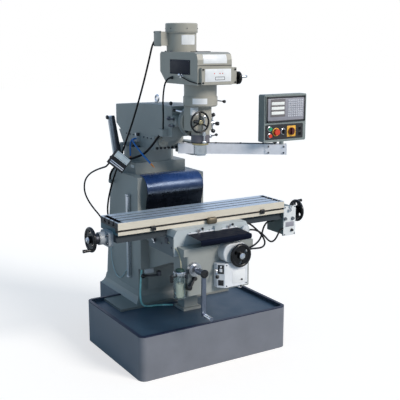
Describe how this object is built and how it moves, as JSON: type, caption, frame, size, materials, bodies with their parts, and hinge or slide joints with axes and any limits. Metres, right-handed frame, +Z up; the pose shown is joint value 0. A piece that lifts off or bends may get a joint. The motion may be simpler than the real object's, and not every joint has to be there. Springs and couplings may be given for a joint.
{
  "type": "turret milling machine",
  "caption": "Turret milling machine: tray base, column, knee, saddle, T-slot table, sliding ram, tilting head with quill, readout console on a swing arm and a work lamp.",
  "frame": {"origin": "on the floor under the middle of the chip tray", "axes": "+Z up, +X to the operator's right along the table, the operator stands on the -Y side"},
  "size_m": [1.744, 1.5261, 2.203],
  "materials": {
    "casting_grey": "satin",
    "casting_light": "satin",
    "saddle_paint": "satin",
    "table_steel": "ground",
    "steel": "machined",
    "handwheel_black": "gloss",
    "white_plastic": "gloss",
    "rubber_black": "satin",
    "jar_glass": "clear",
    "hose_green": "satin",
    "hose_blue": "satin",
    "arm_white": "satin",
    "console_grey": "satin",
    "button_green": "gloss",
    "button_red": "gloss",
    "switch_yellow": "gloss",
    "switch_black": "gloss",
    "lamp_metal": "satin"
  },
  "bodies": {
    "base": {"base_tray": "casting_grey", "column": "casting_grey", "screw_pedestal": "casting_grey", "way_cover": "rubber_black", "drain_hose": "hose_green", "motor_cable": "rubber_black", "lamp_cable": "rubber_black"},
    "knee": {"knee": "casting_grey", "y_feed_gearbox": "steel", "y_feed_box": "white_plastic", "lube_jar": "jar_glass", "feed_cables": "rubber_black"},
    "knee_screw": {"elevating_screw": "steel"},
    "knee_crank": {"knee_dial": "steel", "knee_crank": "steel"},
    "knee_lock": {"knee_lock_lever": "steel"},
    "y_screw": {"cross_screw": "steel", "y_handwheel": "handwheel_black"},
    "y_feed_lever": {"y_feed_lever": "steel"},
    "saddle": {"saddle": "saddle_paint", "front_way_guard": "rubber_black"},
    "table_lock_left": {"table_lock_left": "steel"},
    "table_lock_right": {"table_lock_right": "steel"},
    "table": {"table": "table_steel", "left_bracket": "casting_grey", "x_feed_gearbox": "casting_grey"},
    "x_screw": {"table_screw": "steel", "left_handwheel": "handwheel_black", "right_handwheel": "handwheel_black"},
    "x_feed_lever": {"x_feed_lever": "steel"},
    "turret": {"turret": "casting_grey", "lamp_bracket": "casting_grey", "coolant_hoses": "hose_blue"},
    "ram": {"ram": "casting_grey", "eye_bolt": "steel"},
    "adapter": {"ram_adapter": "casting_grey"},
    "head": {"head_casting": "casting_light", "gear_housing": "casting_light", "belt_housing": "casting_light", "motor": "casting_light", "drive_belt": "rubber_black"},
    "quill": {"quill": "steel"},
    "spindle": {"spindle": "steel"},
    "spindle_pulley": {"spindle_pulley": "steel"},
    "motor_pulley": {"motor_pulley": "steel"},
    "capstan": {"quill_capstan": "steel"},
    "fine_feed": {"fine_feed_wheel": "handwheel_black"},
    "speed_wheel": {"speed_wheel": "handwheel_black"},
    "hi_lo": {"hi_lo_lever": "steel"},
    "quill_lock": {"quill_lock_lever": "steel"},
    "arm": {"pendant_arm": "arm_white"},
    "console": {"console_box": "console_grey"},
    "start": {"start_button": "button_green"},
    "stop": {"stop_button": "button_red"},
    "e_stop": {"emergency_stop": "button_red"},
    "main_switch": {"main_switch": "switch_yellow"},
    "selector": {"selector_switch": "switch_black"},
    "lamp_lower": {"lamp_lower_arm": "lamp_metal"},
    "lamp_upper": {"lamp_upper_arm": "lamp_metal"},
    "lamp_head": {"lamp_head": "lamp_metal"}
  },
  "joints": [
    {"name": "turret_swivel", "type": "hinge", "parent": "base", "child": "turret", "pos_m": [0, 0.525, 1.326], "axis": [0, 0, 1], "range_deg": [-90, 90], "deforming": ["motor_cable", "lamp_cable"]},
    {"name": "ram_slide", "type": "slide", "parent": "turret", "child": "ram", "axis": [0, 1, 0], "range_m": [-0.2, 0.2]},
    {"name": "head_nod", "type": "hinge", "parent": "ram", "child": "adapter", "pos_m": [0, -0.045, 1.576], "axis": [1, 0, 0], "range_deg": [-30, 30]},
    {"name": "head_tilt", "type": "hinge", "parent": "adapter", "child": "head", "pos_m": [0, -0.11, 1.576], "axis": [0, 1, 0], "range_deg": [-40, 40]},
    {"name": "quill_slide", "type": "slide", "parent": "head", "child": "quill", "axis": [0, 0, 1], "range_m": [-0.127, 0]},
    {"name": "spindle_spin", "type": "hinge", "parent": "quill", "child": "spindle", "pos_m": [0, -0.201, 1.371], "axis": [0, 0, 1], "continuous": true},
    {"name": "spindle_pulley_spin", "type": "hinge", "parent": "head", "child": "spindle_pulley", "pos_m": [0, -0.201, 1.946], "axis": [0, 0, 1], "continuous": true},
    {"name": "motor_pulley_spin", "type": "hinge", "parent": "head", "child": "motor_pulley", "pos_m": [0, 0.036, 1.946], "axis": [0, 0, 1], "continuous": true},
    {"name": "capstan_turn", "type": "hinge", "parent": "head", "child": "capstan", "pos_m": [0.0983, -0.147, 1.561], "axis": [1, 0, 0], "continuous": true},
    {"name": "fine_feed_spin", "type": "hinge", "parent": "head", "child": "fine_feed", "pos_m": [-0.066, -0.304, 1.589], "axis": [0, 1, 0], "continuous": true},
    {"name": "speed_wheel_spin", "type": "hinge", "parent": "head", "child": "speed_wheel", "pos_m": [0.168, -0.377, 1.863], "axis": [1, 0, 0], "continuous": true},
    {"name": "hi_lo_turn", "type": "hinge", "parent": "head", "child": "hi_lo", "pos_m": [0.11, -0.201, 1.713], "axis": [1, 0, 0], "range_deg": [-30, 30]},
    {"name": "quill_lock_turn", "type": "hinge", "parent": "head", "child": "quill_lock", "pos_m": [0.06, -0.211, 1.483], "axis": [1, 0, 0], "range_deg": [0, 60]},
    {"name": "knee_slide", "type": "slide", "parent": "base", "child": "knee", "axis": [0, 0, 1], "range_m": [-0.0508, 0.3048], "deforming": ["way_cover", "drain_hose"]},
    {"name": "knee_crank_turn", "type": "hinge", "parent": "knee", "child": "knee_crank", "pos_m": [-0.195, -0.56, 0.688], "axis": [0, 1, 0], "continuous": true},
    {"name": "elevating_screw_turn", "type": "hinge", "parent": "knee", "child": "knee_screw", "pos_m": [0, -0.031, 0.5], "axis": [0, 0, 1], "continuous": true},
    {"name": "knee_lock_turn", "type": "hinge", "parent": "knee", "child": "knee_lock", "pos_m": [-0.192, -0.448, 0.626], "axis": [0, 1, 0], "range_deg": [-45, 0]},
    {"name": "saddle_slide", "type": "slide", "parent": "knee", "child": "saddle", "axis": [0, 1, 0], "range_m": [-0.2, 0.1], "deforming": ["feed_cables"]},
    {"name": "y_screw_turn", "type": "hinge", "parent": "knee", "child": "y_screw", "pos_m": [0.101, -0.53, 0.753], "axis": [0, 1, 0], "continuous": true},
    {"name": "y_feed_lever_turn", "type": "hinge", "parent": "knee", "child": "y_feed_lever", "pos_m": [-0.05, -0.4715, 0.66], "axis": [1, 0, 0], "range_deg": [-20, 20]},
    {"name": "table_lock_left_turn", "type": "hinge", "parent": "saddle", "child": "table_lock_left", "pos_m": [-0.112, -0.36, 0.905], "axis": [0, 1, 0], "range_deg": [-25, 35]},
    {"name": "table_lock_right_turn", "type": "hinge", "parent": "saddle", "child": "table_lock_right", "pos_m": [0.118, -0.36, 0.905], "axis": [0, 1, 0], "range_deg": [-25, 35]},
    {"name": "table_slide", "type": "slide", "parent": "saddle", "child": "table", "axis": [1, 0, 0], "range_m": [-0.33, 0.33]},
    {"name": "x_screw_turn", "type": "hinge", "parent": "table", "child": "x_screw", "pos_m": [0, -0.15, 0.889], "axis": [1, 0, 0], "continuous": true},
    {"name": "x_feed_lever_turn", "type": "hinge", "parent": "table", "child": "x_feed_lever", "pos_m": [0.681, -0.286, 0.936], "axis": [0, 1, 0], "range_deg": [-25, 25]},
    {"name": "arm_swing", "type": "hinge", "parent": "turret", "child": "arm", "pos_m": [0.16, 0.103, 1.362], "axis": [0, 0, 1], "range_deg": [-5, 60]},
    {"name": "console_swivel", "type": "hinge", "parent": "arm", "child": "console", "pos_m": [0.63041, -0.23627, 1.396], "axis": [0, 0, 1], "range_deg": [-30, 30]},
    {"name": "start_press", "type": "slide", "parent": "console", "child": "start", "axis": [0, 1, 0], "range_m": [0, 0.005], "stiffness_N_per_m": 400},
    {"name": "stop_press", "type": "slide", "parent": "console", "child": "stop", "axis": [0, 1, 0], "range_m": [0, 0.005], "stiffness_N_per_m": 400},
    {"name": "e_stop_press", "type": "slide", "parent": "console", "child": "e_stop", "axis": [0, 1, 0], "range_m": [0, 0.005], "stiffness_N_per_m": 400},
    {"name": "main_switch_turn", "type": "hinge", "parent": "console", "child": "main_switch", "pos_m": [0.7, -0.26, 1.484], "axis": [0, 1, 0], "range_deg": [0, 90]},
    {"name": "selector_turn", "type": "hinge", "parent": "console", "child": "selector", "pos_m": [0.632, -0.26, 1.484], "axis": [0, 1, 0], "range_deg": [-45, 45]},
    {"name": "lamp_base_turn", "type": "hinge", "parent": "turret", "child": "lamp_lower", "pos_m": [-0.25, 0.505, 1.311], "axis": [1, 0, 0], "range_deg": [-20, 0]},
    {"name": "lamp_elbow_turn", "type": "hinge", "parent": "lamp_lower", "child": "lamp_upper", "pos_m": [-0.258, 0.601, 1.557], "axis": [1, 0, 0], "range_deg": [-40, 0]},
    {"name": "lamp_neck_turn", "type": "hinge", "parent": "lamp_upper", "child": "lamp_head", "pos_m": [-0.282, 0.515, 1.279], "axis": [1, 0, 0], "range_deg": [-30, 0]}
  ],
  "couplings": [
    {"joint": "capstan_turn", "follows": "quill_slide", "rad_per_m": -111.1},
    {"joint": "spindle_pulley_spin", "follows": "spindle_spin", "ratio": 1},
    {"joint": "motor_pulley_spin", "follows": "spindle_spin", "ratio": 1.3461},
    {"joint": "knee_crank_turn", "follows": "knee_slide", "rad_per_m": 2473.7},
    {"joint": "elevating_screw_turn", "follows": "knee_slide", "rad_per_m": 1236.8},
    {"joint": "y_screw_turn", "follows": "saddle_slide", "rad_per_m": 1236.8},
    {"joint": "x_screw_turn", "follows": "table_slide", "rad_per_m": -1236.8}
  ]
}
